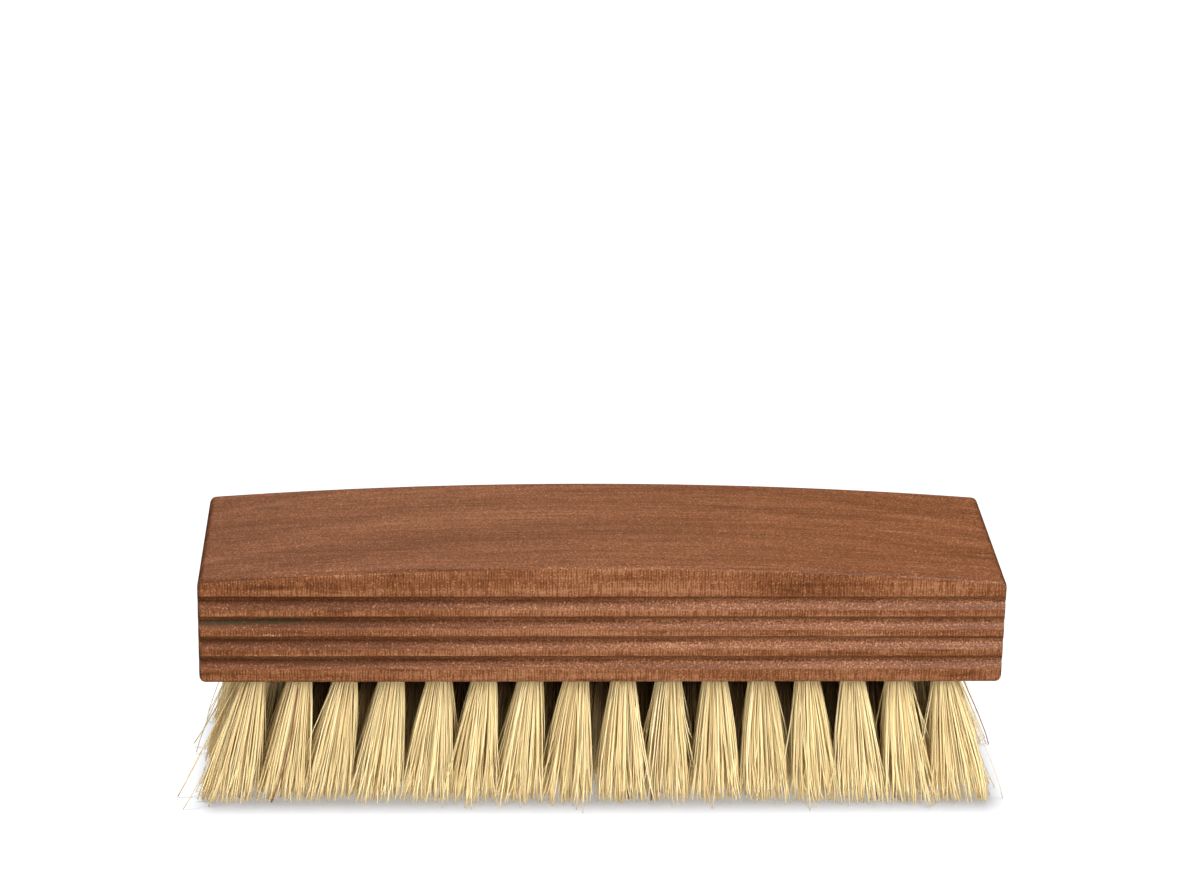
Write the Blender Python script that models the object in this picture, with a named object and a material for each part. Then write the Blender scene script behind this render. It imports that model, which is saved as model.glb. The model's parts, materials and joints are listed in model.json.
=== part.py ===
"""Shoe polishing brush: a grooved wooden back with five staggered rows of fibre tufts.

The origin lies under the middle of the brush, on the surface that the bristle tips stand on.
X runs along the brush, Y across it from front to rear, and Z up. All lengths are in metres.
"""

import math
import random

import bmesh
import bpy
from mathutils import Vector

MM = 0.001

# Wooden back, a block whose top is arched along its length
BACK_LENGTH = 170.0 * MM
BACK_WIDTH = 46.7 * MM
END_THICKNESS = 23.2 * MM
ARCH_RISE = 3.3 * MM
TOP_EDGE_RADIUS = 1.3 * MM
OTHER_EDGE_RADIUS = 0.6 * MM
EDGE_SEGMENTS = 3
ARCH_FACETS = 24

# Finger grooves, the same on both long sides, between a lowest and a topmost land
GROOVES_PER_SIDE = 4
GROOVE_DEPTH = 1.05 * MM
GROOVE_FLOOR = 0.9 * MM
LAND_BETWEEN_GROOVES = 1.42 * MM
LOWEST_LAND = 3.0 * MM
TOPMOST_LAND = 3.34 * MM

# Tuft layout: long and short rows alternate, each tuft facing the gap between two neighbours
ROW_COUNT = 5
LONG_ROW_TUFTS = 16
END_MARGIN = 11.5 * MM
SIDE_MARGIN = 6.5 * MM

# Blind holes that hold the tufts, and the slice of backing that carries a short row
HOLE_DIAMETER = 5.2 * MM
HOLE_DEPTH = 13.0 * MM
HOLE_SIDES = 12
SLICE_THICKNESS = 4.0 * MM
FIT_GAP = 0.3 * MM
OVERCUT = 2.0 * MM

# Tufts: a lean is how much further out a tip stands than its root, as a share of the root's place.
# At a bulge of 0 a tuft widens evenly, and at 1 it widens fast at first and hangs straight at its tips.
BRISTLE_LENGTH = 28.0 * MM
LEAN_ALONG = 0.067
LEAN_ACROSS = 0.070
SPLIT_DROP = 0.5 * MM
BULGE = 1.0
TUFT_TIP_GAP = 0.45 * MM

# Strands: a tuft splits into these, with ragged tips that the floor cuts flat
STRANDS_PER_TUFT = 6
STRAND_TIP_GAP = 1.5 * MM
RAGGED_LENGTH = 2.2 * MM
FLOOR_CUT = 0.5 * MM
RAGGED_SEED = 11

# Finishes, with colours in linear RGB
WOOD_COLOUR = (0.270, 0.098, 0.040)
WOOD_ROUGHNESS = 0.6
FIBRE_COLOUR = (0.560, 0.400, 0.195)
FIBRE_ROUGHNESS = 0.55
FIBRE_TONE_SPREAD = 0.12

# Worked out from the sizes above
GROOVE_WIDTH = (
    END_THICKNESS - LOWEST_LAND - TOPMOST_LAND - (GROOVES_PER_SIDE - 1) * LAND_BETWEEN_GROOVES
) / GROOVES_PER_SIDE
TUFT_PITCH = (BACK_LENGTH - 2 * END_MARGIN) / (LONG_ROW_TUFTS - 1)
ROW_PITCH = (BACK_WIDTH - 2 * SIDE_MARGIN) / (ROW_COUNT - 1)
HOLE_RADIUS = HOLE_DIAMETER / 2
PLUG_RADIUS = HOLE_RADIUS * math.cos(math.pi / HOLE_SIDES) - FIT_GAP
TIP_PITCH = TUFT_PITCH * (1 + LEAN_ALONG)
TIP_ROW_PITCH = ROW_PITCH * (1 + LEAN_ACROSS)
TIP_RADIUS = (min(TIP_PITCH, math.hypot(TIP_PITCH / 2, TIP_ROW_PITCH)) - TUFT_TIP_GAP) / 2
STRAND_ANGLE = 2 * math.pi / STRANDS_PER_TUFT
STRAND_TIP_ANGLE = STRAND_ANGLE - 2 * math.asin(STRAND_TIP_GAP / 2 / TIP_RADIUS)
STRAND_TIP_WIDTH = 2 * TIP_RADIUS * math.sin(STRAND_TIP_ANGLE / 2)
STRAND_TIP_HEIGHT = STRAND_TIP_WIDTH * math.sqrt(3) / 2
CORE_TIP_RADIUS = TIP_RADIUS * math.cos(STRAND_TIP_ANGLE / 2) - STRAND_TIP_HEIGHT


def lerp(start, end, share):
    """The value at a share of the way from start to end."""
    return start + (end - start) * share


def polar(centre, radius, angle):
    """The point level with centre, at a radius and an angle from it."""
    return centre + Vector((radius * math.cos(angle), radius * math.sin(angle), 0))


def ring(centre, radius, count, turn=0.0):
    """Evenly spaced points on a level circle."""
    return [polar(centre, radius, turn + 2 * math.pi * step / count) for step in range(count)]


def rectangle(centre, length, width):
    """The corners of a level rectangle, in order."""
    x, y = length / 2, width / 2
    corners = ((-x, -y), (x, -y), (x, y), (-x, y))
    return [centre + Vector((corner[0], corner[1], 0)) for corner in corners]


def add_loop(mesh, points):
    """Adds a loop of points to the mesh and returns its vertices."""
    return [mesh.verts.new(point) for point in points]


def add_walls(mesh, start, end):
    """Adds the faces between two loops of as many vertices each."""
    for here in range(len(start)):
        after = (here + 1) % len(start)
        mesh.faces.new((start[here], start[after], end[after], end[here]))


def add_prism(mesh, start_points, end_points):
    """Adds a closed solid between two loops of points."""
    start = add_loop(mesh, start_points)
    end = add_loop(mesh, end_points)
    mesh.faces.new(start)
    mesh.faces.new(end)
    add_walls(mesh, start, end)


def make_material(name, colour, roughness):
    """A Principled material of one colour."""
    material = bpy.data.materials.new(name)
    material.use_nodes = True
    shader = material.node_tree.nodes["Principled BSDF"]
    shader.inputs["Base Color"].default_value = (*colour, 1.0)
    shader.inputs["Roughness"].default_value = roughness
    shader.inputs["Metallic"].default_value = 0.0
    material.diffuse_color = (*colour, 1.0)
    return material


def fibre_material(name, rng):
    """Pale plant fibre, a little lighter or darker from tuft to tuft."""
    tone = 1 + rng.uniform(-FIBRE_TONE_SPREAD, FIBRE_TONE_SPREAD)
    return make_material(name, [channel * tone for channel in FIBRE_COLOUR], FIBRE_ROUGHNESS)


def make_object(name, mesh, parent, location=(0, 0, 0), material=None):
    """An object with the mesh, which is given in the parent's frame and moved to the location."""
    bmesh.ops.recalc_face_normals(mesh, faces=mesh.faces)
    bmesh.ops.translate(mesh, verts=mesh.verts, vec=-Vector(location))
    data = bpy.data.meshes.new(name)
    mesh.to_mesh(data)
    mesh.free()
    made = bpy.data.objects.new(name, data)
    bpy.context.collection.objects.link(made)
    made.parent = parent
    made.location = location
    if material:
        data.materials.append(material)
    return made


def add_boolean(target, other, operation):
    """Cuts the other object out of the target or joins it on, and hides the other one."""
    boolean = target.modifiers.new(other.name, "BOOLEAN")
    boolean.operation = operation
    boolean.object = other
    boolean.solver = "EXACT"
    boolean.material_mode = "TRANSFER"
    other.hide_render = True
    other.display_type = "WIRE"


def tuft_roots(row):
    """Where each tuft's axis in a row meets the back's underside. Row 0 is the front one."""
    count = LONG_ROW_TUFTS - 1 if is_short(row) else LONG_ROW_TUFTS
    y = row * ROW_PITCH - (BACK_WIDTH / 2 - SIDE_MARGIN)
    return [Vector(((step - (count - 1) / 2) * TUFT_PITCH, y, 0)) for step in range(count)]


def axis_point(root, height):
    """The point on a tuft's leaning axis at a height above the back's underside."""
    drop = -height / BRISTLE_LENGTH
    return Vector((root.x * (1 + LEAN_ALONG * drop), root.y * (1 + LEAN_ACROSS * drop), height))


def is_short(row):
    """Short rows are carried by a slice of backing, and long rows stand in drilled holes."""
    return row % 2 == 1


def slot_size(roots):
    """The length and width of the slot for a short row, which reaches halfway to its neighbours."""
    return roots[-1].x - roots[0].x + ROW_PITCH, ROW_PITCH


def back_outline():
    """The back seen from its long side, as (x, z) points: a level bottom under an arched top."""
    half = BACK_LENGTH / 2
    points = [(-half, 0.0), (half, 0.0)]
    for step in range(ARCH_FACETS + 1):
        x = half - BACK_LENGTH * step / ARCH_FACETS
        points.append((x, END_THICKNESS + ARCH_RISE * (1 - (x / half) ** 2)))
    return points


def groove_section(number):
    """One groove's cross-section as (depth, z) points, from below its lower lip to above its upper one.

    The walls run on past the lips, by a quarter of the land, so that the cutters stay apart.
    """
    low = LOWEST_LAND + number * (GROOVE_WIDTH + LAND_BETWEEN_GROOVES)
    high = low + GROOVE_WIDTH
    wall_rise = (GROOVE_WIDTH - GROOVE_FLOOR) / 2
    past_lip = LAND_BETWEEN_GROOVES / 4
    outside = -past_lip * GROOVE_DEPTH / wall_rise
    return [
        (outside, low - past_lip),
        (GROOVE_DEPTH, low + wall_rise),
        (GROOVE_DEPTH, high - wall_rise),
        (outside, high + past_lip),
    ]


def make_groove_cutters(parent):
    """Prisms that run along both long sides and out past both ends."""
    mesh = bmesh.new()
    reach = BACK_LENGTH / 2 + OVERCUT
    for side in (-1, 1):
        for number in range(GROOVES_PER_SIDE):
            section = [(side * (BACK_WIDTH / 2 - depth), z) for depth, z in groove_section(number)]
            left = [Vector((-reach, y, z)) for y, z in section]
            right = [Vector((reach, y, z)) for y, z in section]
            add_prism(mesh, left, right)
    return make_object("groove_cutters", mesh, parent)


def make_hole_cutters(parent):
    """Drills for the long rows, each leaning along its tuft's axis."""
    mesh = bmesh.new()
    long_rows = [row for row in range(ROW_COUNT) if not is_short(row)]
    for root in sum(map(tuft_roots, long_rows), []):
        mouth = ring(axis_point(root, -OVERCUT), HOLE_RADIUS, HOLE_SIDES)
        bottom = ring(axis_point(root, HOLE_DEPTH), HOLE_RADIUS, HOLE_SIDES)
        add_prism(mesh, mouth, bottom)
    return make_object("hole_cutters", mesh, parent)


def make_slot_cutters(parent):
    """Slots in the underside for the slices that carry the short rows."""
    mesh = bmesh.new()
    for row in filter(is_short, range(ROW_COUNT)):
        roots = tuft_roots(row)
        below = rectangle(Vector((0, roots[0].y, -OVERCUT)), *slot_size(roots))
        above = rectangle(Vector((0, roots[0].y, SLICE_THICKNESS + FIT_GAP)), *slot_size(roots))
        add_prism(mesh, below, above)
    return make_object("slot_cutters", mesh, parent)


def edge_softness(edge):
    """An edge's radius as a share of the top's. The joints between the arch's facets get none."""
    start, end = (vertex.co for vertex in edge.verts)
    if min(start.z, end.z) == 0:
        return OTHER_EDGE_RADIUS / TOP_EDGE_RADIUS
    joins_facets = start.y != end.y and abs(start.x) < BACK_LENGTH / 2 - TOP_EDGE_RADIUS
    return 0.0 if joins_facets else 1.0


def make_back(parent, wood):
    """The wooden back: an arched block with softened edges, finger grooves, holes and slots."""
    mesh = bmesh.new()
    outline = back_outline()
    front = [Vector((x, -BACK_WIDTH / 2, z)) for x, z in outline]
    rear = [Vector((x, BACK_WIDTH / 2, z)) for x, z in outline]
    add_prism(mesh, front, rear)
    bevel_weight = mesh.edges.layers.float.new("bevel_weight_edge")
    for edge in mesh.edges:
        edge[bevel_weight] = edge_softness(edge)
    back = make_object("wooden_back", mesh, parent, material=wood)

    bevel = back.modifiers.new("softened_edges", "BEVEL")
    bevel.width = TOP_EDGE_RADIUS
    bevel.segments = EDGE_SEGMENTS
    bevel.limit_method = "WEIGHT"

    for cutters in (make_groove_cutters, make_hole_cutters, make_slot_cutters):
        add_boolean(back, cutters(parent), "DIFFERENCE")
    return back


def strand_section(root, heading, share):
    """A strand's three corners at a share of its way down from the split to the floor."""
    centre = axis_point(root, lerp(-SPLIT_DROP, -BRISTLE_LENGTH, share))
    spread = share * (1 + BULGE * (1 - share))
    outer_radius = lerp(PLUG_RADIUS, TIP_RADIUS, spread)
    half_angle = lerp(STRAND_ANGLE, STRAND_TIP_ANGLE, spread) / 2
    return [
        polar(centre, spread * CORE_TIP_RADIUS, heading),
        polar(centre, outer_radius, heading - half_angle),
        polar(centre, outer_radius, heading + half_angle),
    ]


def strand_reach(number, rng):
    """The share of the way to the floor at which a strand ends. The first one always stands on it."""
    ragged_height = rng.uniform(-FLOOR_CUT, RAGGED_LENGTH - FLOOR_CUT)
    tip_height = 0.0 if number == 0 else max(0.0, ragged_height)
    return 1 - tip_height / (BRISTLE_LENGTH - SPLIT_DROP)


def add_tuft(mesh, root, plug_height, rng):
    """Adds a tuft: a plug of packed fibre that splits into strands just below the back."""
    turn = rng.uniform(0, STRAND_ANGLE)
    split_centre = axis_point(root, -SPLIT_DROP)
    plug_top = add_loop(mesh, ring(axis_point(root, plug_height), PLUG_RADIUS, STRANDS_PER_TUFT, turn))
    split = add_loop(mesh, ring(split_centre, PLUG_RADIUS, STRANDS_PER_TUFT, turn))
    core = mesh.verts.new(split_centre)
    mesh.faces.new(plug_top)
    add_walls(mesh, plug_top, split)

    for number in range(STRANDS_PER_TUFT):
        heading = turn + (number + 0.5) * STRAND_ANGLE
        reach = strand_reach(number, rng)
        section = [core, split[number], split[(number + 1) % STRANDS_PER_TUFT]]
        for share in (reach / 2, reach):
            lower = add_loop(mesh, strand_section(root, heading, share))
            add_walls(mesh, section, lower)
            section = lower
        mesh.faces.new(section)


def make_single_tufts(row, parent, rng):
    """A long row: each tuft is an object of its own, with its plug in a drilled hole."""
    for number, root in enumerate(tuft_roots(row), start=1):
        name = f"row_{row + 1}_tuft_{number:02d}"
        mesh = bmesh.new()
        add_tuft(mesh, root, HOLE_DEPTH - FIT_GAP, rng)
        make_object(name, mesh, parent, root, fibre_material(f"{name}_fibre", rng))


def make_joined_tufts(row, parent, wood, rng):
    """A short row: its tufts are fused to a slice of the backing, which lies in a slot."""
    name = f"row_{row + 1}_tufts"
    roots = tuft_roots(row)
    centre = Vector((0, roots[0].y, 0))
    length, width = slot_size(roots)
    mesh = bmesh.new()
    below = rectangle(centre, length - 2 * FIT_GAP, width - 2 * FIT_GAP)
    above = [point + Vector((0, 0, SLICE_THICKNESS)) for point in below]
    add_prism(mesh, below, above)
    backing = make_object(name, mesh, parent, centre, wood)

    mesh = bmesh.new()
    for root in roots:
        add_tuft(mesh, root, SLICE_THICKNESS / 2, rng)
    fibre = fibre_material(f"{name}_fibre", rng)
    strands = make_object(f"{name}_strands", mesh, parent, centre, fibre)
    add_boolean(backing, strands, "UNION")


def main():
    """Builds the brush standing on its bristle tips."""
    for existing in list(bpy.data.objects):
        bpy.data.objects.remove(existing, do_unlink=True)

    brush = bpy.data.objects.new("shoe_brush", None)
    bpy.context.collection.objects.link(brush)
    brush.location = (0, 0, BRISTLE_LENGTH)

    rng = random.Random(RAGGED_SEED)
    wood = make_material("reddish_wood", WOOD_COLOUR, WOOD_ROUGHNESS)
    make_back(brush, wood)
    for row in range(ROW_COUNT):
        if is_short(row):
            make_joined_tufts(row, brush, wood, rng)
        else:
            make_single_tufts(row, brush, rng)
    bpy.context.view_layer.update()


main()
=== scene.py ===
"""Looks of a shoe polishing brush: a sanded wooden back, and some 25,000 plant fibres.

Everything is in metres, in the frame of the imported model: the brush stands on its bristle tips
at z = 0, with X along it, Y across it from front to rear, and Z up.
"""

import json
import math
from types import SimpleNamespace

import bmesh
import bpy
import numpy as np
from mathutils import Matrix, Vector

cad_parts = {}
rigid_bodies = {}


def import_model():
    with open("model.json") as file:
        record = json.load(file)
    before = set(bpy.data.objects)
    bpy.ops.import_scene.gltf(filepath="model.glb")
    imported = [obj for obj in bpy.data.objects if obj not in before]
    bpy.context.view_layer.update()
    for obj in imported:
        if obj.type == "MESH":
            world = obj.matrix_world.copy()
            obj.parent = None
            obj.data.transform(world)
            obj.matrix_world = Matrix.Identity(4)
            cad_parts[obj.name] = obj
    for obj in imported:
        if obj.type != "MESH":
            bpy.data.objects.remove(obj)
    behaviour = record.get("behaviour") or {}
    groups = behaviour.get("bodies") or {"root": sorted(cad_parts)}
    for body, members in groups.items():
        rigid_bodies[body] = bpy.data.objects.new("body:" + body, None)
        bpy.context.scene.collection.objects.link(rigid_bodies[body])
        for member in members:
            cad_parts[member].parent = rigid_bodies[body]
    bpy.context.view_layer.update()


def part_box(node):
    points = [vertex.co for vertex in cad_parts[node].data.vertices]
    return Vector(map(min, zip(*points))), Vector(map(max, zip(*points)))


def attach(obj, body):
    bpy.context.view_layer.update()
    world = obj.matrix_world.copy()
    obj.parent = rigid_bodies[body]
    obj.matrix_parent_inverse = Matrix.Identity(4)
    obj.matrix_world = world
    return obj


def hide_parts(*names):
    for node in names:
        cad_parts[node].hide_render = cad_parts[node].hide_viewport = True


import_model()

MM = 0.001
BODY = "root"

# The back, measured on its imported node, with the sizes that its box doesn't give
BACK_LOW, BACK_HIGH = (Vector(corner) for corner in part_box("wooden_back"))
BACK_LENGTH = BACK_HIGH.x - BACK_LOW.x
BACK_WIDTH = BACK_HIGH.y - BACK_LOW.y
UNDERSIDE = BACK_LOW.z
ARCH_RISE = 3.3 * MM
END_THICKNESS = BACK_HIGH.z - UNDERSIDE - ARCH_RISE
TOP_LONG_EDGE_RADIUS = 0.7 * MM
TOP_END_EDGE_RADIUS = 1.4 * MM
UPRIGHT_EDGE_RADIUS = 0.7 * MM
LOWER_LONG_EDGE_RADIUS = 0.4 * MM
LOWER_END_EDGE_RADIUS = 1.4 * MM

# Finger grooves
GROOVES_PER_SIDE = 4
GROOVE_DEPTH = 1.05 * MM
GROOVE_ROUNDNESS = 1.6
LAND_BETWEEN_GROOVES = 1.42 * MM
LOWEST_LAND = 3.0 * MM
TOPMOST_LAND = 3.34 * MM
GROOVES_HEIGHT = END_THICKNESS - LOWEST_LAND - TOPMOST_LAND
GROOVE_WIDTH = (GROOVES_HEIGHT - (GROOVES_PER_SIDE - 1) * LAND_BETWEEN_GROOVES) / GROOVES_PER_SIDE
GROOVE_STEP = GROOVE_WIDTH + LAND_BETWEEN_GROOVES

# How finely the back's skin is divided
SECTIONS_ALONG = 84
STEPS_UP_GROOVE = 16
STEPS_UP_LAND = 3
SHARES_OF_END_EDGE = (0.0, 0.02, 0.08, 0.18, 0.32, 0.5, 0.72, 1.0)
SHARES_ACROSS_UNDERSIDE = (0.0, 0.35, 0.7)
SHARES_ACROSS_TOP = (0.75, 0.5, 0.25, 0.0)
EDGE_ANGLES = [math.radians(angle) for angle in range(0, 91, 15)]
SHARPEST_SMOOTH_ANGLE = math.radians(35)

# Tuft layout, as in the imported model
ROW_COUNT = 5
LONG_ROW_TUFTS = 16
END_MARGIN = 11.5 * MM
SIDE_MARGIN = 6.5 * MM
TUFT_PITCH = (BACK_LENGTH - 2 * END_MARGIN) / (LONG_ROW_TUFTS - 1)
ROW_PITCH = (BACK_WIDTH - 2 * SIDE_MARGIN) / (ROW_COUNT - 1)
HOLE_RADIUS = 2.6 * MM
HOLE_DEPTH = 13.0 * MM
HOLE_SIDES = 20
DRILL_OVERCUT = 1.0 * MM
LEAN_ALONG = 0.067
LEAN_ACROSS = 0.070

# Anchors
ANCHOR_THICKNESS = 0.35 * MM
ANCHOR_HEIGHT = 1.8 * MM
ANCHOR_BITE = 0.5 * MM
ANCHOR_EDGE = 0.08 * MM

# Tufts: they open fastest below the wood, fill a rounded square at their tips, and spread further
# where no other tuft holds them, by factors for their low and high side along and across. Some
# fibres are drawn together into clumps
FIBRES_PER_TUFT = 320
FIBRE_SEED = 20
FIBRE_ROOT_DEPTH = 11.0 * MM
MOUTH_RADIUS = 2.25 * MM
MOUTH_JITTER = 0.06 * MM
OPENING_POWER = 1.35
TIP_REACH = (5.30 * MM, 4.80 * MM)
TIP_SQUARENESS = 0.75
TIP_JITTER = 0.48 * MM
FREE_SIDE_SPREAD = ((1.05, 1.40), (1.32, 1.32))
FREE_SIDE_CROWDING = 0.60
CLUMPS_PER_TUFT = 9
CLUMP_REACH = 0.9
CLUMP_JITTER = 0.5 * MM
CLUMP_PULL = 0.25

# How far each tuft's tips stand aside along the brush, in millimetres: those of the front row as
# seen, and the middle and spread of the others
FRONT_ROW_DRIFTS = (
    -1.1, -0.6, -1.3, -1.0, -0.7, -1.7, -2.0, -2.0, -0.4, -1.4, -1.0, -0.8, -0.4, -1.2, -1.3, -1.6)
OTHER_DRIFT = -1.1
DRIFT_SPREAD = 0.5
DRIFT_POWER = 0.7

# Single fibres: their section, where along them they get points, how they bend midway, hook at
# the tip, wave and stray, and how far above the floor they end. A wave turns by an angle in
# radians from the wood to the tip
FIBRE_SIDES = 5
FIBRE_LEVELS = (0.0, 0.10, 0.25, 0.45, 0.70, 0.90, 1.0)
FIBRE_WIDTHS = (0.17 * MM, 0.33 * MM)
FIBRE_FLATNESS = (0.65, 1.0)
FIBRE_TAPER = 0.06
BEND_SPREAD = 0.32 * MM
HOOK_SPREAD = 0.68 * MM
HOOK_POWER = 6
WAVE_HEIGHT = 0.28 * MM
WAVE_SHARES = (0.2, 1)
WAVE_TURNS = (3, 8)
STRAY_SHARE = 0.085
STRAY_REACH = (1.5 * MM, 5.5 * MM)
TIP_HEIGHT_SPREAD = 0.25 * MM
SHORT_SHARE = 0.16
SHORT_BY = 2.4 * MM
HIGHEST_TIP = 0.6 * UNDERSIDE

# Fibres' tones, from 0 for the darkest to 1 for the palest: how they spread within a tuft and
# from tuft to tuft, and the few dark ones
FIBRE_TONE_BETA = (2.5, 2.35)
TUFT_TONE_SPREAD = 0.06
DARK_SHARE = 0.012
DARK_FIBRE_TONE = -0.4

# Fibres' colours for their tones, what tone and mottling weigh, and painted shade: how much light is
# left at the roots and tips, and how much is lost at inner tufts' roots. Where shade is painted, green
# and blue fade faster than red, by these powers
FIBRE_COLOURS = (
    (0.00, (0.200, 0.080, 0.030)),
    (0.10, (0.620, 0.435, 0.190)),
    (0.45, (0.780, 0.612, 0.300)),
    (0.80, (0.860, 0.718, 0.400)),
    (1.00, (0.940, 0.860, 0.610)),
)
TONE_WEIGHT = 0.86
TONE_START = -0.08
MOTTLE_WEIGHT = 0.30
MOTTLE_GRAIN = (2.0, 2.0, 0.35)
ROOT_PAINTED_SHADE_FACTOR = 0.82
TIP_PAINTED_SHADE_FACTOR = 0.84
INNER_ROOT_PAINTED_SHADE = 0.86
GREEN_FADING = 1.28
BLUE_FADING = 1.60

# Wood: the growth rings' tilt about the brush's length, and its colours from the darkest tone, 0,
# to the palest, 1. Its flat sides are tinted a little more orange, a painted difference of sheen:
# the top and the grooves catch a grey sheen that the upright sides miss
RING_TILT = math.radians(-12.3)
WOOD_COLOURS = (
    (0.00, (0.068, 0.021, 0.006)),
    (0.25, (0.100, 0.032, 0.010)),
    (0.50, (0.159, 0.053, 0.018)),
    (0.75, (0.251, 0.095, 0.039)),
    (1.00, (0.400, 0.188, 0.095)),
)
LAND_PAINTED_SHEEN_TINT = (1.00, 0.90, 0.78)
LAND_PAINTED_SHEEN_SHARE = 0.18
WOOD_SPECULAR = 0.22

# Layers of grain: how close each stands along X, Y and Z, as scale per millimetre, its detail and
# distortion, and what it weighs in the tone
GRAIN_LAYERS = {
    "bands": ((0.012, 0.03, 0.60), 1, 0.3, 0.32),
    "rings": ((0.012, 0.03, 1.90), 2, 0.3, 0.30),
    "streaks": ((0.030, 1.00, 0.25), 2, 0.0, 0.42),
    "lines": ((0.10, 3.0, 0.6), 1, 0.0, 0.36),
    "flecks": ((2.4, 2.2, 2.6), 1, 0.0, 1.00),
}

# Rays, specks, pores and torn wood have grain of their own. At a scale of 1, a wave texture has
# about 3.2 waves to a unit
RAYS_PER_MM = 1.75
WAVES_PER_UNIT = 3.2
RAY_GRAIN = (3.6, 1.6, 0.16)
SPECK_GRAIN = (2.6, 2.8, 3.2)
PORE_GRAIN = (0.08, 2.4, 0.5)
TORN_GRAIN = (3.6, 3.6, 3.6)

# What is added to the wood's tone: on the rays and between them, by the flecks of the flat sides,
# by specks and pores, in the grooves as painted shade towards -X and painted sheen towards +X and
# by their torn grain, as painted light on what faces down to fill its shade, by the rings on the
# ends, and on the top's edges as painted shade that dims their highlight, broken by the rings, and
# partly as the wood's own darker band there
RAY_TONES = (-0.04, 0.25)
LAND_FLECK_TONE = -0.6
SPECK_TONE = 0.36
PORE_TONE = -0.18
GROOVE_PAINTED_LIGHT_TONES = (-0.50, 0.05)
GROOVE_PAINTED_LIGHT_FROM = -0.45 * BACK_LENGTH
GROOVE_PAINTED_LIGHT_TO = 0.35 * BACK_LENGTH
GROOVE_TORN_TONES = (-0.22, 0.22)
DOWNWARD_PAINTED_LIGHT = 0.22
END_RING_TONES = (-0.42, 0.02)
EDGE_SHADE_AND_RING_TONES = (-0.20, 0.02)

# Painted light and shade on the wood, and one darker patch, as centre, half size and what is added
# to the tone: a pool of painted light on the front half, strongest in the middle, painted shade on
# the top and rear towards -X, and a darker patch on the front's upper edge towards +X
WOOD_PAINTED_LIGHT_AND_PATCHES = (
    (Vector((2, -26, 40)) * MM, Vector((70, 24, 40)) * MM, 0.08),
    (Vector((-92, 4, 44)) * MM, Vector((66, 26, 24)) * MM, -0.08),
    (Vector((42, -24, 50)) * MM, Vector((20, 5, 3.2)) * MM, -0.16),
)

# The wood's marks, as centre, half size, turn about Y, colour and strength
DARK_GRAIN = (0.038, 0.035, 0.014)
BRUISE = (0.100, 0.040, 0.018)
PALE_WOOD = (0.560, 0.330, 0.200)
WOOD_MARKS = (
    (Vector((-73, -22.6, 41.7)) * MM, Vector((21, 1.5, 0.8)) * MM, math.radians(-1.5), DARK_GRAIN, 1.9),
    (Vector((-52, -22.6, 42.6)) * MM, Vector((16, 1.5, 0.6)) * MM, math.radians(-2.0), BRUISE, 0.50),
    (Vector((-71.6, 14.4, 52.2)) * MM, Vector((4.2, 0.7, 1.5)) * MM, math.radians(-3.0), DARK_GRAIN, 2.6),
    (Vector((-69.2, -23.0, 38.9)) * MM, Vector((3.2, 0.8, 0.28)) * MM, math.radians(4.0), PALE_WOOD, 1.2),
    (Vector((-67.0, -23.0, 34.2)) * MM, Vector((4.4, 0.8, 0.25)) * MM, math.radians(5.0), PALE_WOOD, 1.2),
)

# Steel
STEEL_GRAIN = (0.6, 9.0, 9.0)
STEEL_DARK = (0.50, 0.48, 0.45, 1)
STEEL_PALE = (0.70, 0.68, 0.64, 1)

# Camera: where it looks from, as angles about the point it looks at
CAMERA_TARGET = Vector((-1.46 * MM, -23.35 * MM, 83.28 * MM))
CAMERA_AZIMUTH = math.radians(-2.736)
CAMERA_ELEVATION = math.radians(21.6)
CAMERA_ROLL = math.radians(1.111)
CAMERA_DISTANCE = 0.73623
CAMERA_LENS = 107.19
SENSOR_WIDTH = 36.0

# Lights stand on a sphere round one point. Each softbox has its azimuth and elevation in degrees,
# its side in metres, its power in watts, and what it lights. The floor's sun has the angle that
# it fills in radians for a side, and watts per square metre for its power
LIGHT_TARGET = Vector((0, 0, 30)) * MM
LIGHT_DISTANCE = 0.9
SOFTBOXES = {
    "key_softbox": (35, 27, 0.45, 9.0, "brush"),
    "fill_softbox": (-60, 8, 0.50, 4.8, "brush"),
    "high_softbox": (28, 56, 0.40, 3.5, "brush"),
    "top_softbox": (150, 80, 0.60, 1.6, "brush"),
    "bounce_softbox": (0, -42, 0.80, 5.5, "tufts"),
    "rear_softbox": (190, 26, 0.50, 8.0, "brush"),
    "rear_bounce_softbox": (180, -42, 0.80, 4.0, "tufts"),
}
WITHOUT_HIGHLIGHTS = "rear_softbox"
FLOOR_SUN = (180, 85, 0.17, 6.0)
SKY_STRENGTHS = (0.03, 0.20)

# Floor
FLOOR_SIZE = 4.0
FLOOR_GREY = (0.385, 0.395, 0.415, 1)
FLOOR_GLOW = (0.97, 0.98, 1.0, 1)
FLOOR_GLOW_STRENGTH = 0.33


def lerp(start, end, share):
    """The value at a share of the way from start to end."""
    return start + (end - start) * share


def new_object(name, data):
    """An object in the scene that holds the data."""
    made = bpy.data.objects.new(name, data)
    bpy.context.collection.objects.link(made)
    return made


def to_data(name, mesh):
    """A mesh datablock from a bmesh, which is freed."""
    data = bpy.data.meshes.new(name)
    mesh.to_mesh(data)
    mesh.free()
    return data


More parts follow.
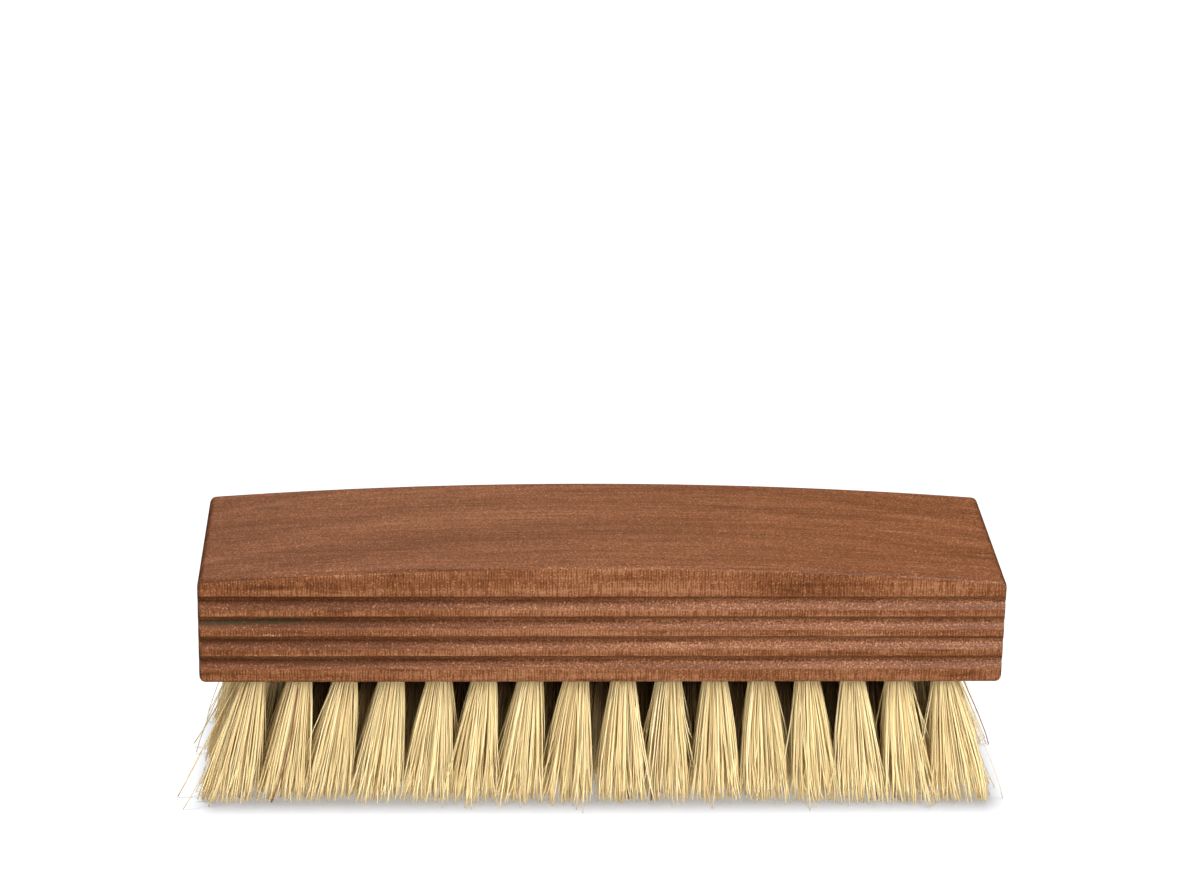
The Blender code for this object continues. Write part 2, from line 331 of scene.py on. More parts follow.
class Shader:
    """A material whose nodes are added one call at a time."""

    def __init__(self, name):
        self.material = bpy.data.materials.new(name)
        self.material.use_nodes = True
        self.tree = self.material.node_tree
        self.surface = self.tree.nodes["Principled BSDF"]

    def set(self, socket, value):
        """Links or sets one socket."""
        if isinstance(value, bpy.types.NodeSocket):
            self.tree.links.new(value, socket)
        else:
            socket.default_value = value

    def node(self, kind, inputs, output=0, **settings):
        """Adds a node and returns one of its outputs."""
        made = self.tree.nodes.new("ShaderNode" + kind)
        for name, value in settings.items():
            setattr(made, name, value)
        for key, value in inputs.items():
            self.set(made.inputs[key], value)
        return made.outputs[output]

    def millimetres(self, scale=(1, 1, 1)):
        """The place on the object in millimetres, stretched by the inverse of scale."""
        place = self.node("TexCoord", {}, "Object")
        return self.node("Mapping", {"Vector": place, "Scale": [factor / MM for factor in scale]})

    def blot(self, centre, half_size, turn=0.0):
        """1 in the middle of a soft-edged oval patch, and 0 outside it."""
        place = self.node("TexCoord", {}, "Object")
        inputs = {"Vector": place, "Location": centre, "Rotation": (0, turn, 0), "Scale": half_size}
        inside = self.node("Mapping", inputs, vector_type="TEXTURE")
        distance = self.node("VectorMath", {0: inside}, "Value", operation="LENGTH")
        return self.remap(distance, 1.0, 0.3)

    def noise(self, vector, detail=2.0, roughness=0.5, distortion=0.0):
        """Noise from 0 to 1."""
        inputs = {"Vector": vector, "Scale": 1.0, "Detail": detail}
        inputs.update({"Roughness": roughness, "Distortion": distortion})
        return self.node("TexNoise", inputs)

    def maths(self, operation, first, second=0.0, third=0.0, clamp=False):
        """One step of arithmetic."""
        inputs = {0: first, 1: second, 2: third}
        return self.node("Math", inputs, operation=operation, use_clamp=clamp)

    def added(self, value, more, share):
        """The value and a share of something more."""
        return self.maths("MULTIPLY_ADD", share, more, value)

    def remap(self, value, low, high, out_low=0.0, out_high=1.0):
        """The value carried from one range to another, smoothly and without passing its ends."""
        inputs = {"Value": value, "From Min": low, "From Max": high}
        inputs.update({"To Min": out_low, "To Max": out_high})
        return self.node("MapRange", inputs, interpolation_type="SMOOTHSTEP")

    def mix(self, share, first, second, blend="MIX"):
        """Two colours mixed."""
        made = self.tree.nodes.new("ShaderNodeMix")
        made.data_type = "RGBA"
        made.blend_type = blend
        for socket, value in ((0, share), (6, first), (7, second)):
            self.set(made.inputs[socket], value)
        return made.outputs[2]

    def ramp(self, share, stops):
        """A colour for each value from 0 to 1, from (place, colour) stops."""
        made = self.tree.nodes.new("ShaderNodeValToRGB")
        elements = made.color_ramp.elements
        while len(elements) < len(stops):
            elements.new(0.5)
        for element, (place, colour) in zip(elements, stops):
            element.position = place
            element.color = (*colour, 1.0)
        self.set(made.inputs[0], share)
        return made.outputs[0]

    def bump(self, height, strength, distance):
        """Small relief for the surface's normal, with distance in metres."""
        inputs = {"Height": height, "Strength": strength, "Distance": distance}
        return self.node("Bump", inputs)

    def finish(self, **inputs):
        """Connects what the surface is made of, and returns the material."""
        for name, value in inputs.items():
            self.set(self.surface.inputs[name.replace("_", " ")], value)
        return self.material


class WoodShader(Shader):
    """A material whose noise lies along tilted growth rings."""

    def __init__(self, name):
        super().__init__(name)
        self.grown = self.node("Mapping", {"Vector": self.millimetres(), "Rotation": (RING_TILT, 0, 0)})

    def grain(self, scale, detail=0, distortion=0.0):
        """Noise from 0 to 1, with a scale of its own along, across and between the rings."""
        stretched = self.node("Mapping", {"Vector": self.grown, "Scale": scale})
        return self.noise(stretched, detail=detail, distortion=distortion)


def wood_zones(wood):
    """How much of each kind of face a point is, from 0 to 1.

    A land is flat side outside the grooves, and an edge is where the sides or ends round over
    into the top.
    """
    normal = wood.node("TexCoord", {}, "Normal")
    sideways, facing = (wood.node("SeparateXYZ", {0: normal}, axis) for axis in "XZ")
    place = wood.node("TexCoord", {}, "Object")
    y, z = (wood.node("SeparateXYZ", {0: place}, axis) for axis in "YZ")

    upright = wood.remap(wood.maths("ABSOLUTE", facing), 0.80, 0.30)
    outermost = wood.remap(wood.maths("ABSOLUTE", y), BACK_WIDTH / 2 - 0.20 * MM, BACK_WIDTH / 2)
    land = wood.maths("MULTIPLY", upright, outermost)
    end = wood.remap(wood.maths("ABSOLUTE", sideways), 0.3, 0.8)
    groove = wood.maths("SUBTRACT", wood.maths("SUBTRACT", upright, land), end, clamp=True)
    rounded = wood.maths("MULTIPLY", wood.remap(facing, 0.15, 0.45), wood.remap(facing, 0.99, 0.93))
    arch_foot = UNDERSIDE + END_THICKNESS
    edge = wood.maths("MULTIPLY", rounded, wood.remap(z, arch_foot - 2 * MM, arch_foot - MM))
    downward = wood.remap(facing, -0.05, -0.50)
    return SimpleNamespace(land=land, groove=groove, end=end, edge=edge, downward=downward)


def grain_layers(wood):
    """The layers of grain by name, and the tone that they add up to, which is 0.5 on average."""
    layers = {}
    tone = 0.5 - sum(weight for *_, weight in GRAIN_LAYERS.values()) / 2
    for name, (scale, detail, distortion, weight) in GRAIN_LAYERS.items():
        layers[name] = wood.grain(scale, detail, distortion)
        tone = wood.added(tone, weight, layers[name])
    return layers, tone


def between_rays(wood, ray_grain):
    """0 on the rays, which stand upright, close together and broken up, and 1 between them."""
    lengthened = wood.node("Mapping", {"Vector": wood.grown, "Scale": (1, 1, 0.3)})
    inputs = {"Vector": lengthened, "Scale": RAYS_PER_MM / WAVES_PER_UNIT}
    inputs.update({"Distortion": 4.0, "Detail": 2.0, "Detail Scale": 1.2})
    waves = wood.node("TexWave", inputs, "Fac")
    return wood.remap(wood.added(ray_grain, 0.30, waves), 0.38, 0.82)


def wood_tone(wood, tone, layers, zones, rays):
    """The tone of plain grain with the rays, specks and pores, and with what each zone adds."""
    rings = layers["rings"]
    tone = wood.added(tone, wood.remap(rays, 0, 1, *RAY_TONES), zones.land)
    fleck = wood.maths("SUBTRACT", layers["flecks"], 0.5)
    tone = wood.added(tone, LAND_FLECK_TONE, wood.maths("MULTIPLY", zones.land, fleck))
    specks = wood.remap(wood.grain(SPECK_GRAIN), 0.60, 0.76, 0.0, SPECK_TONE)
    pores = wood.remap(wood.grain(PORE_GRAIN, 1), 0.36, 0.28, 0.0, PORE_TONE)
    tone = wood.maths("ADD", wood.maths("ADD", tone, specks), pores)

    x = wood.node("SeparateXYZ", {0: wood.node("TexCoord", {}, "Object")}, "X")
    # Painted shade in the grooves towards -X and painted sheen towards +X
    groove_painted_light = wood.remap(x, GROOVE_PAINTED_LIGHT_FROM, GROOVE_PAINTED_LIGHT_TO, *GROOVE_PAINTED_LIGHT_TONES)
    torn = wood.remap(wood.grain(TORN_GRAIN), 0.3, 0.7, *GROOVE_TORN_TONES)
    tone = wood.added(tone, wood.maths("ADD", groove_painted_light, torn), zones.groove)
    # Painted light on what faces down, which fills the shade on the grooves' upper walls
    tone = wood.added(tone, DOWNWARD_PAINTED_LIGHT, zones.downward)
    tone = wood.added(tone, wood.remap(rings, 0.35, 0.65, *END_RING_TONES), zones.end)
    # Painted shade on the top's rounded edges that dims their highlight, broken by the rings, and partly
    # the wood's own darker band there
    tone = wood.added(tone, wood.remap(rings, 0.3, 0.7, *EDGE_SHADE_AND_RING_TONES), zones.edge)
    # A pool of painted light on the front, painted shade towards -X, and a darker patch on the front's
    # upper edge
    for centre, half_size, shift in WOOD_PAINTED_LIGHT_AND_PATCHES:
        tone = wood.added(tone, shift, wood.blot(centre, half_size))
    return tone


def wood_colour(wood, tone, layers, zones, ray_grain):
    """The colour for a tone, with the tint of the flat sides and the marks, which are ragged."""
    colour = wood.ramp(tone, WOOD_COLOURS)
    # Painted difference of sheen: the flat sides are tinted more orange than the top and grooves, which
    # catch a grey sheen
    painted_sheen_share = wood.maths("MULTIPLY", zones.land, LAND_PAINTED_SHEEN_SHARE)
    colour = wood.mix(painted_sheen_share, colour, (*LAND_PAINTED_SHEEN_TINT, 1), "MULTIPLY")
    ragged = wood.remap(wood.added(ray_grain, 0.7, layers["flecks"]), 0.70, 0.95)
    for centre, half_size, turn, stain, strength in WOOD_MARKS:
        mark = wood.maths("MULTIPLY", wood.blot(centre, half_size, turn), strength)
        mark = wood.maths("MULTIPLY", mark, ragged, clamp=True)
        colour = wood.mix(mark, colour, (*stain, 1))
    return colour


def wood_material():
    """Reddish brown wood, whose growth rings lie almost level and whose rays stand upright.

    So its top shows lengthwise bands and fine specks, and its flat sides show rows of short dark
    upright ticks. It is tinted more orange on its sides than on its top, a painted difference of
    sheen. Its grooves, which are cut more roughly, are speckled, and have painted shade towards -X
    and painted sheen towards +X. What faces down is paler, as painted light that fills its shade.
    Its ends are end grain, which is darker and shows the rings most.
    """
    wood = WoodShader("reddish_wood")
    zones = wood_zones(wood)
    ray_grain = wood.grain(RAY_GRAIN)
    rays = between_rays(wood, ray_grain)
    layers, plain_tone = grain_layers(wood)
    tone = wood_tone(wood, plain_tone, layers, zones, rays)
    relief = wood.added(layers["flecks"], 0.15, wood.maths("MULTIPLY", rays, zones.land))
    relief = wood.added(relief, 0.8, layers["lines"])
    return wood.finish(
        Base_Color=wood_colour(wood, tone, layers, zones, ray_grain),
        Roughness=wood.remap(tone, 0.2, 0.8, 0.50, 0.42),
        Specular_IOR_Level=WOOD_SPECULAR,
        Normal=wood.bump(relief, 0.6, 0.10 * MM),
    )


def fibre_material():
    """Stiff cream plant fibre, of another tone in each fibre, a little darker at its root and tip.

    Its root and tip get painted shade, and the roots of inner tufts get the darkest painted shade,
    which stands in for the little light that gets between them.
    """
    fibre = Shader("plant_fibre")
    inner, tone, along = (
        fibre.node("Attribute", {}, "Fac", attribute_name=name) for name in ("inner", "tone", "along"))
    mottle = fibre.noise(fibre.millimetres(MOTTLE_GRAIN), detail=2, roughness=0.6)
    shade = fibre.added(fibre.added(TONE_START, TONE_WEIGHT, tone), MOTTLE_WEIGHT, mottle)
    # Painted shade: most at the roots of inner tufts, less at every root and at the tips, with green and
    # blue fading faster than red
    inner_painted_shade = fibre.maths("MULTIPLY", inner, fibre.remap(along, 0.68, 0.12, 0.0, INNER_ROOT_PAINTED_SHADE))
    light = fibre.maths("SUBTRACT", fibre.remap(along, 0.0, 0.34, ROOT_PAINTED_SHADE_FACTOR, 1.0), inner_painted_shade)
    light = fibre.maths("MULTIPLY", light, fibre.remap(along, 0.86, 1.0, 1.0, TIP_PAINTED_SHADE_FACTOR))
    green = fibre.maths("POWER", light, GREEN_FADING)
    blue = fibre.maths("POWER", light, BLUE_FADING)
    painted_shade_colour = fibre.node("CombineColor", {0: light, 1: green, 2: blue})
    return fibre.finish(
        Base_Color=fibre.mix(1.0, fibre.ramp(shade, FIBRE_COLOURS), painted_shade_colour, "MULTIPLY"),
        Roughness=fibre.remap(mottle, 0.3, 0.7, 0.48, 0.65),
        Normal=fibre.bump(mottle, 0.4, 0.03 * MM),
    )


def steel_material():
    """Drawn steel strip with fine lengthwise marks."""
    steel = Shader("anchor_steel")
    marks = steel.noise(steel.millimetres(STEEL_GRAIN), detail=3)
    return steel.finish(
        Base_Color=steel.mix(marks, STEEL_DARK, STEEL_PALE),
        Roughness=steel.remap(marks, 0.3, 0.7, 0.25, 0.45),
        Metallic=1.0,
        Normal=steel.bump(marks, 0.3, 0.02 * MM),
    )


def tuft_roots(row):
    """Where each tuft's axis in a row meets the back's underside. Row 0 is the front one."""
    count = LONG_ROW_TUFTS - row % 2
    y = row * ROW_PITCH - (BACK_WIDTH / 2 - SIDE_MARGIN)
    return [Vector(((step - (count - 1) / 2) * TUFT_PITCH, y)) for step in range(count)]


def axis_point(root, height):
    """The point on a tuft's leaning axis at a height above the underside, in the frame."""
    drop = -height / UNDERSIDE
    return Vector((root.x * (1 + LEAN_ALONG * drop), root.y * (1 + LEAN_ACROSS * drop), UNDERSIDE + height))


def arch_height(x):
    """The top's height above the underside at a place along the back."""
    return END_THICKNESS + ARCH_RISE * (1 - (2 * x / BACK_LENGTH) ** 2)


def groove_dip(z):
    """How deep a long side lies below its lands at a height above the underside."""
    number = int((z - LOWEST_LAND) // GROOVE_STEP)
    if not 0 <= number < GROOVES_PER_SIDE:
        return 0.0
    across = abs(2 * (z - LOWEST_LAND - number * GROOVE_STEP) / GROOVE_WIDTH - 1)
    return GROOVE_DEPTH * (1 - min(across, 1.0) ** GROOVE_ROUNDNESS)


def rounded_off(distance, radius):
    """How far a rounded edge falls back at a distance inside the face that it leads to."""
    if distance >= radius:
        return 0.0
    return radius - math.sqrt(radius ** 2 - (radius - distance) ** 2)


def side_heights():
    """Heights above the underside at which a long side gets a point: close together in the grooves."""
    low = LOWER_END_EDGE_RADIUS + LOWER_LONG_EDGE_RADIUS
    high = END_THICKNESS - TOP_END_EDGE_RADIUS - TOP_LONG_EDGE_RADIUS
    heights = [lerp(low, LOWEST_LAND, step / STEPS_UP_LAND) for step in range(STEPS_UP_LAND)]
    for number in range(GROOVES_PER_SIDE):
        start = LOWEST_LAND + number * GROOVE_STEP
        heights += [start + GROOVE_WIDTH * step / STEPS_UP_GROOVE for step in range(STEPS_UP_GROOVE + 1)]
    top = heights[-1]
    return heights + [lerp(top, high, step / STEPS_UP_LAND) for step in range(1, STEPS_UP_LAND + 1)]


def back_section(x):
    """Half of the back's cross-section at x as (y, z) points, from the bottom's middle to the top's."""
    to_end = BACK_LENGTH / 2 - abs(x)
    widest = BACK_WIDTH / 2 - rounded_off(to_end, UPRIGHT_EDGE_RADIUS)
    low = rounded_off(to_end, LOWER_END_EDGE_RADIUS)
    high = arch_height(x) - rounded_off(to_end, TOP_END_EDGE_RADIUS)

    under = widest - LOWER_LONG_EDGE_RADIUS
    points = [(under * share, low) for share in SHARES_ACROSS_UNDERSIDE]
    for turn in EDGE_ANGLES:
        beside, above = math.sin(turn), 1 - math.cos(turn)
        points.append((under + LOWER_LONG_EDGE_RADIUS * beside, low + LOWER_LONG_EDGE_RADIUS * above))

    for z in side_heights():
        points.append((min(widest, BACK_WIDTH / 2 - groove_dip(z)), z))

    over = widest - TOP_LONG_EDGE_RADIUS
    for turn in EDGE_ANGLES:
        beside, below = math.cos(turn), 1 - math.sin(turn)
        points.append((over + TOP_LONG_EDGE_RADIUS * beside, high - TOP_LONG_EDGE_RADIUS * below))
    return points + [(over * share, high) for share in SHARES_ACROSS_TOP]


def back_stations():
    """Where along the back it gets a cross-section: close together where its ends are rounded."""
    half = BACK_LENGTH / 2
    start = [-half + TOP_END_EDGE_RADIUS * share for share in SHARES_OF_END_EDGE]
    inner = half - 2 * TOP_END_EDGE_RADIUS
    middle = [lerp(-inner, inner, step / SECTIONS_ALONG) for step in range(SECTIONS_ALONG + 1)]
    return start + middle + [-x for x in reversed(start)]


def join_rings(mesh, first, second):
    """Faces between two rings of as many vertices."""
    for here in range(len(first)):
        after = (here + 1) % len(first)
        mesh.faces.new((first[here], first[after], second[after], second[here]))


def back_mesh():
    """The back's outer skin as one lofted mesh."""
    mesh = bmesh.new()
    rings = []
    for x in back_stations():
        section = back_section(x)
        mirrored = [(-y, z) for y, z in reversed(section[1:-1])]
        rings.append([mesh.verts.new((x, y, z + UNDERSIDE)) for y, z in section + mirrored])
    for left, right in zip(rings, rings[1:]):
        join_rings(mesh, left, right)
    mesh.faces.new(rings[0])
    mesh.faces.new(rings[-1])
    bmesh.ops.recalc_face_normals(mesh, faces=mesh.faces)
    return mesh


def drill_mesh():
    """A drill for each tuft's hole, leaning along the tuft's axis."""
    mesh = bmesh.new()
    turns = [2 * math.pi * step / HOLE_SIDES for step in range(HOLE_SIDES)]
    circle = [Vector((HOLE_RADIUS * math.cos(turn), HOLE_RADIUS * math.sin(turn), 0)) for turn in turns]
    for row in range(ROW_COUNT):
        for root in tuft_roots(row):
            centres = axis_point(root, -DRILL_OVERCUT), axis_point(root, HOLE_DEPTH)
            mouth, bottom = ([mesh.verts.new(centre + point) for point in circle] for centre in centres)
            join_rings(mesh, mouth, bottom)
            mesh.faces.new(mouth)
            mesh.faces.new(bottom)
    bmesh.ops.recalc_face_normals(mesh, faces=mesh.faces)
    return mesh


def make_back():
    """The wooden back with its grooves and drilled holes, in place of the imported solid."""
    back = new_object("carved_wooden_back", to_data("carved_wooden_back", back_mesh()))
    drills = new_object("drills", to_data("drills", drill_mesh()))
    boolean = back.modifiers.new("holes", "BOOLEAN")
    boolean.operation = "DIFFERENCE"
    boolean.solver = "EXACT"
    boolean.object = drills
    bpy.context.view_layer.update()
    evaluated = back.evaluated_get(bpy.context.evaluated_depsgraph_get())
    drilled = bpy.data.meshes.new_from_object(evaluated)
    back.modifiers.clear()
    back.data = drilled
    bpy.data.objects.remove(drills, do_unlink=True)
    drilled.shade_smooth()
    drilled.set_sharp_from_angle(angle=SHARPEST_SMOOTH_ANGLE)
    drilled.materials.clear()
    drilled.materials.append(wood_material())
    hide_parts("wooden_back")
    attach(back, BODY)


def make_anchors():
    """The flat steel strips that hold the folded fibres at the bottom of each hole."""
    mesh = bmesh.new()
    size = Vector((2 * (HOLE_RADIUS + ANCHOR_BITE), ANCHOR_THICKNESS, ANCHOR_HEIGHT))
    for row in range(ROW_COUNT):
        for root in tuft_roots(row):
            centre = axis_point(root, HOLE_DEPTH - ANCHOR_HEIGHT)
            place = Matrix.Translation(centre) @ Matrix.Diagonal((*size, 1))
            bmesh.ops.create_cube(mesh, size=1.0, matrix=place)
    bmesh.ops.bevel(mesh, geom=mesh.edges[:], offset=ANCHOR_EDGE, segments=2, affect="EDGES")
    anchors = new_object("tuft_anchors", to_data("tuft_anchors", mesh))
    anchors.data.materials.append(steel_material())
    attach(anchors, BODY)


def spiral(count, radius):
    """Points spread evenly over a disc, each turned on by the golden angle."""
    step = np.arange(count)
    distance = radius * np.sqrt((step + 0.5) / count)
    turn = step * math.pi * (3 - math.sqrt(5))
    return np.stack([distance * np.cos(turn), distance * np.sin(turn)], 1)


def rotated(points, angle):
    """Plane points turned about the origin."""
    cos, sin = math.cos(angle), math.sin(angle)
    return points @ np.array([[cos, sin], [-sin, cos]])


def headings(rng, count):
    """Unit vectors in the plane, each in a direction of its own."""
    turn = rng.uniform(0, 2 * math.pi, count)
    return np.stack([np.cos(turn), np.sin(turn)], 1)


def tip_offsets(mouths, free, rng):
    """Where a tuft's fibres end beside its axis: spread out, with some drawn together into clumps.

    free is -1, 0 or 1 along and across the brush, for the side where the tuft has no neighbour.
    """
    count = len(mouths)
    corner = np.linalg.norm(mouths, axis=1) / np.abs(mouths).max(1)
    tips = mouths / MOUTH_RADIUS * TIP_REACH * corner[:, None] ** TIP_SQUARENESS
    tips += rng.normal(0, TIP_JITTER, (count, 2))
    clumps = spiral(CLUMPS_PER_TUFT, CLUMP_REACH) * TIP_REACH
    clumps += rng.normal(0, CLUMP_JITTER, (CLUMPS_PER_TUFT, 2))
    nearest = clumps[np.linalg.norm(tips[:, None] - clumps[None], axis=2).argmin(1)]
    tips += (nearest - tips) * CLUMP_PULL * rng.uniform(0, 1, (count, 1))
    spread = [FREE_SIDE_SPREAD[axis][int(side > 0)] for axis, side in enumerate(free)]
    crowded = np.sign(tips) * TIP_REACH * np.abs(tips / TIP_REACH) ** FREE_SIDE_CROWDING
    return np.where(tips * free > 0, crowded * spread, tips)


def tip_heights(rng, count):
    """How far above the floor the fibres end: most a little, and some well short of it."""
    heights = np.abs(rng.normal(0, TIP_HEIGHT_SPREAD, count))
    short = rng.random(count) < SHORT_SHARE
    heights[short] += rng.exponential(SHORT_BY, short.sum())
    return np.minimum(heights, HIGHEST_TIP)


def tufts_of_row(row, rng):
    """Each tuft of a row as its root, its tips' drift, and its free sides."""
    roots = tuft_roots(row)
    across = {0: -1, ROW_COUNT - 1: 1}.get(row, 0)
    tufts = []
    for place, root in enumerate(roots):
        along = {0: -1, len(roots) - 1: 1}.get(place, 0)
        drift = FRONT_ROW_DRIFTS[place] if row == 0 else rng.normal(OTHER_DRIFT, DRIFT_SPREAD)
        drift = np.array([drift, rng.normal(0, DRIFT_SPREAD)]) * MM
        tufts.append((root, drift, np.array([along, across])))
    return tufts


def fibre_lines(root, drift, free, rng):
    """The centre lines of a tuft's fibres as fibre, level and x, y, z, and how far along each level is."""
    count = FIBRES_PER_TUFT
    mouths = rotated(spiral(count, MOUTH_RADIUS), rng.uniform(0, 2 * math.pi))
    mouths += rng.normal(0, MOUTH_JITTER, mouths.shape)
    tips = tip_offsets(mouths, free, rng)
    bends = rng.normal(0, BEND_SPREAD, (count, 2))
    hooks = rng.normal(0, HOOK_SPREAD, (count, 2))
    waves = headings(rng, count) * WAVE_HEIGHT * rng.uniform(*WAVE_SHARES, (count, 1))
    wave_starts = rng.uniform(0, 2 * math.pi, (count, 1))
    wave_turns = rng.uniform(*WAVE_TURNS, (count, 1))
    strays = headings(rng, count) * rng.uniform(*STRAY_REACH, (count, 1))
    strays[rng.random(count) > STRAY_SHARE] = 0.0

    levels = np.array(FIBRE_LEVELS)
    drops = levels * (UNDERSIDE - tip_heights(rng, count)[:, None])
    shares = drops / UNDERSIDE
    opening = 1 - (1 - shares) ** OPENING_POWER
    sideways = (tips - mouths)[:, None] * opening[..., None]
    sideways += strays[:, None] * shares[..., None]
    sideways += bends[:, None] * (shares * (1 - shares) * 4)[..., None]
    sideways += hooks[:, None] * (levels ** HOOK_POWER)[None, :, None]
    sideways += waves[:, None] * (np.sin(wave_starts + shares * wave_turns) * shares)[..., None]

    lean = np.array([root.x * LEAN_ALONG, root.y * LEAN_ACROSS])
    sideways += lean * shares[..., None] + drift * (shares ** DRIFT_POWER)[..., None]
    flat = np.array([root.x, root.y]) + mouths[:, None] + sideways
    lines = np.concatenate([flat, (UNDERSIDE - drops)[..., None]], 2)

    inner = lines[:, :1].copy()
    inner[:, 0, :2] -= lean * FIBRE_ROOT_DEPTH / UNDERSIDE
    inner[:, 0, 2] += FIBRE_ROOT_DEPTH
    return np.concatenate([inner, lines], 1), np.concatenate([np.zeros((count, 1)), shares], 1)


def tube_points(lines, rng):
    """The skin points of tubes round the lines, as an array of fibre, level, side and x, y, z."""
    count, levels = lines.shape[:2]
    way = np.gradient(lines, axis=1)
    way /= np.linalg.norm(way, axis=2, keepdims=True)
    heading = rng.uniform(0, 2 * math.pi, count)
    side = np.stack([np.cos(heading), np.sin(heading), np.zeros(count)], 1)[:, None]
    side = side - way * (side * way).sum(2, keepdims=True)
    side /= np.linalg.norm(side, axis=2, keepdims=True)
    other = np.cross(way, side)

    half_width = rng.uniform(*FIBRE_WIDTHS, count) / 2
    half_depth = half_width * rng.uniform(*FIBRE_FLATNESS, count)
    taper = np.linspace(1, 1 - FIBRE_TAPER, levels)
    turn = 2 * math.pi * np.arange(FIBRE_SIDES) / FIBRE_SIDES
    across = (half_width[:, None] * taper)[:, :, None, None] * np.cos(turn)[:, None]
    above = (half_depth[:, None] * taper)[:, :, None, None] * np.sin(turn)[:, None]
    return lines[:, :, None] + across * side[:, :, None] + above * other[:, :, None]


def tube_faces(count, levels):
    """The faces of count tubes: their walls, and a cap at each end."""
    sides = FIBRE_SIDES
    corner = np.arange(sides)
    wall = np.stack([corner, (corner + 1) % sides, (corner + 1) % sides + sides, corner + sides], 1)
    walls = (wall[None] + sides * np.arange(levels - 1)[:, None, None]).reshape(-1, 4)
    first = corner[::-1]
    last = corner + sides * (levels - 1)
    offsets = np.arange(count) * sides * levels
    quads = (walls[None] + offsets[:, None, None]).reshape(-1, 4)
    caps = np.concatenate([first[None] + offsets[:, None], last[None] + offsets[:, None]])
    return quads.tolist() + caps.tolist()


def tuft_mesh(name, root, drift, free, rng):
    """One mesh of all the fibres of a tuft, which end on the floor at the lowest."""
    lines, along = fibre_lines(root, drift, free, rng)
    count, levels = lines.shape[:2]
    points = tube_points(lines, rng)
    points[..., 2] = np.maximum(points[..., 2], 0.0)
    data = bpy.data.meshes.new(name)
    data.from_pydata(points.reshape(-1, 3).tolist(), [], tube_faces(count, levels))
    data.update()
    data.shade_smooth()

    tuft_tone = rng.uniform(-TUFT_TONE_SPREAD, TUFT_TONE_SPREAD)
    tone = np.clip(rng.beta(*FIBRE_TONE_BETA, count) + tuft_tone, 0, 1)
    tone[rng.random(count) < DARK_SHARE] = DARK_FIBRE_TONE
    # inner is 1 for a tuft with no free side, whose roots get the darkest painted shade
    per_point = {
        "inner": np.full(count * levels * FIBRE_SIDES, float(not free.any())),
        "tone": np.repeat(tone, levels * FIBRE_SIDES),
        "along": np.repeat(along.reshape(-1), FIBRE_SIDES),
    }
    for attribute, values in per_point.items():
        layer = data.attributes.new(attribute, "FLOAT", "POINT")
        layer.data.foreach_set("value", values.astype(np.float32))
    return data


def make_tufts():
    """All fibres, a piece for each tuft. A short row's tufts together replace its one node."""
    rng = np.random.default_rng(FIBRE_SEED)
    fibre = fibre_material()
    for row in range(ROW_COUNT):
        for number, tuft in enumerate(tufts_of_row(row, rng), 1):
            name = f"row_{row + 1}_tuft_{number:02d}"
            piece = new_object(f"{name}_fibres", tuft_mesh(f"{name}_fibres", *tuft, rng))
            piece.data.materials.append(fibre)
            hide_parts(f"row_{row + 1}_tufts" if row % 2 else name)
            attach(piece, BODY)


def make_floor():
    """A plain pale floor, which throws no light on the brush."""
    mesh = bmesh.new()
    bmesh.ops.create_grid(mesh, x_segments=1, y_segments=1, size=FLOOR_SIZE)
    floor = new_object("floor", to_data("floor", mesh))
    floor.data.materials.append(Shader("pale_floor").finish(
        Base_Color=FLOOR_GREY,
        Roughness=0.9,
        Emission_Color=FLOOR_GLOW,
        Emission_Strength=FLOOR_GLOW_STRENGTH,
    ))
    floor.visible_diffuse = False
    floor.visible_glossy = False


def away(azimuth, elevation):
    """The direction that lies at an azimuth from the front and at an elevation, both in radians."""
    level = math.cos(elevation)
    return Vector((math.sin(azimuth) * level, -math.cos(azimuth) * level, math.sin(elevation)))


def look_at(place, target, roll=0.0):
    """The matrix of a camera or light at a place that faces a target."""
    forward = (target - place).normalized()
    right = forward.cross(Vector((0, 0, 1))).normalized()
    up = right.cross(forward)
    turned = Matrix((right, up, -forward)).transposed() @ Matrix.Rotation(roll, 3, "Z")
    return Matrix.Translation(place) @ turned.to_4x4()


def make_camera():
    """The camera at the photograph's angle, with colours shown as they are."""
    data = bpy.data.cameras.new("camera")
    data.lens = CAMERA_LENS
    data.sensor_width = SENSOR_WIDTH
    camera = new_object("camera", data)
    place = CAMERA_TARGET + away(CAMERA_AZIMUTH, CAMERA_ELEVATION) * CAMERA_DISTANCE
    camera.matrix_world = look_at(place, CAMERA_TARGET, CAMERA_ROLL)
    bpy.context.scene.camera = camera
    bpy.context.scene.view_settings.view_transform = "Standard"


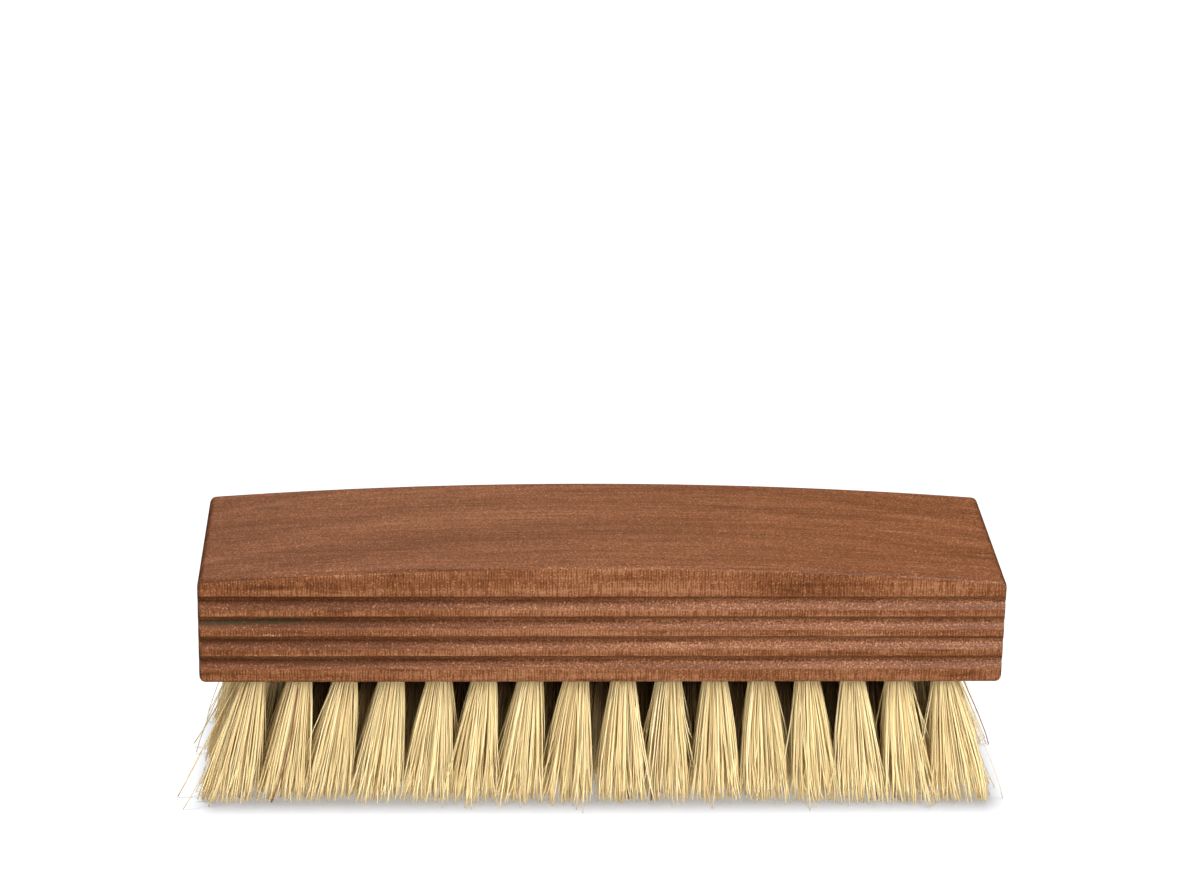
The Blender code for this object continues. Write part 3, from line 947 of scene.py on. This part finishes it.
def make_light(name, azimuth, elevation, size, power, receivers, blockers=None, kind="AREA"):
    """A soft light on the sphere round the brush, for a collection of receivers.

    size is an area light's side in metres, or the angle that a sun fills in radians.
    """
    data = bpy.data.lights.new(name, kind)
    setattr(data, "angle" if kind == "SUN" else "size", size)
    data.energy = power
    light = new_object(name, data)
    place = LIGHT_TARGET + away(math.radians(azimuth), math.radians(elevation)) * LIGHT_DISTANCE
    light.matrix_world = look_at(place, LIGHT_TARGET)
    light.light_linking.receiver_collection = receivers
    light.light_linking.blocker_collection = blockers
    return light


def make_lights():
    """Softboxes for the brush from all sides, and a sun for the floor.

    The floor has a light of its own, so that the brush's shadow stays close below it. The two
    below stand for light that the floor throws back, and pass through it. The rear one makes no
    highlights, because the camera would see them all along the back's far edges.
    """
    groups = {name: bpy.data.collections.new(name) for name in ("brush", "tufts", "ground")}
    for piece in bpy.context.scene.objects:
        if piece.type == "MESH":
            groups["ground" if piece.name == "floor" else "brush"].objects.link(piece)
        if piece.name.endswith("_fibres"):
            groups["tufts"].objects.link(piece)
    for name, (azimuth, elevation, size, power, lit) in SOFTBOXES.items():
        blockers = groups["brush"] if lit == "tufts" else None
        softbox = make_light(name, azimuth, elevation, size, power, groups[lit], blockers)
        softbox.visible_glossy = name != WITHOUT_HIGHLIGHTS
    make_light("floor_sun", *FLOOR_SUN, groups["ground"], kind="SUN")


def make_sky():
    """A dim white sky, brightest overhead."""
    world = bpy.data.worlds.new("studio")
    world.use_nodes = True
    nodes, links = world.node_tree.nodes, world.node_tree.links
    direction = nodes.new("ShaderNodeTexCoord")
    parts = nodes.new("ShaderNodeSeparateXYZ")
    strength = nodes.new("ShaderNodeMapRange")
    lowest, highest = SKY_STRENGTHS
    for name, value in {"From Min": 0.1, "From Max": 0.9, "To Min": lowest, "To Max": highest}.items():
        strength.inputs[name].default_value = value
    links.new(direction.outputs["Generated"], parts.inputs["Vector"])
    links.new(parts.outputs["Z"], strength.inputs["Value"])
    links.new(strength.outputs["Result"], nodes["Background"].inputs["Strength"])
    nodes["Background"].inputs["Color"].default_value = (1.0, 1.0, 1.0, 1)
    bpy.context.scene.world = world


make_camera()
make_floor()
make_back()
make_anchors()
make_tufts()
make_lights()
make_sky()
